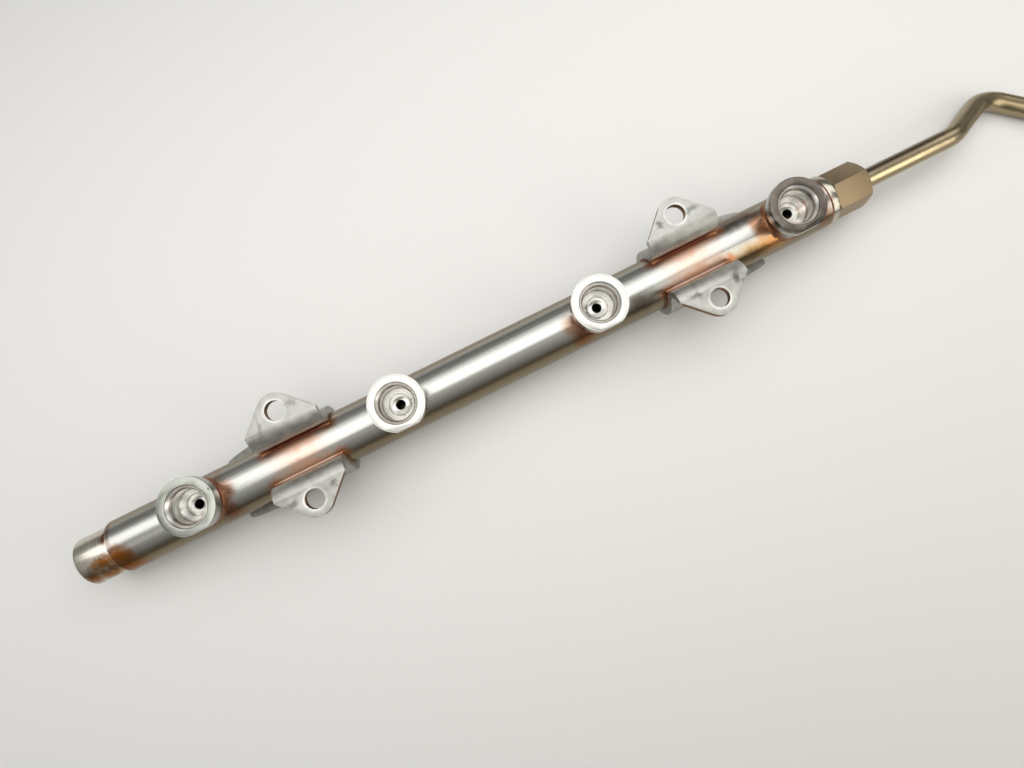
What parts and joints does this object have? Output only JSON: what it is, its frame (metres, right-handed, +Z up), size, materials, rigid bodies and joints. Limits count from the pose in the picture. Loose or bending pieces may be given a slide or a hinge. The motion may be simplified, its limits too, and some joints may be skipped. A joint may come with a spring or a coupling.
{
  "type": "fuel rail",
  "caption": "Round fuel rail with a row of injector cups, two saddle mounting brackets, an end plug and a bent inlet pipe held by a union nut.",
  "frame": {"origin": "centre of the four mounting holes, in the plane of the ears' upper faces, which seat on the engine", "axes": "+X along the rail from the end plug to the inlet, +Z up, the way the injector cups open, +Y to the left of +X"},
  "size_m": [0.4556, 0.0496, 0.0345],
  "materials": {
    "rail_steel": "satin",
    "plug_steel": "satin",
    "cup_steel": "satin",
    "bracket_steel": "matte",
    "nut_steel": "satin",
    "pipe_steel": "satin",
    "copper_braze": "satin"
  },
  "bodies": {
    "root": {"rail_tube": "rail_steel", "end_plug": "plug_steel", "injector_cup_1": "cup_steel", "injector_cup_2": "cup_steel", "injector_cup_3": "cup_steel", "injector_cup_4": "cup_steel", "mounting_bracket_left": "bracket_steel", "mounting_bracket_right": "bracket_steel", "inlet_fitting": "cup_steel", "union_nut": "nut_steel", "pipe_sleeve": "nut_steel", "fuel_pipe": "pipe_steel", "cup_braze": "copper_braze", "bracket_braze": "copper_braze", "tube_end_braze": "copper_braze"}
  },
  "joints": []
}
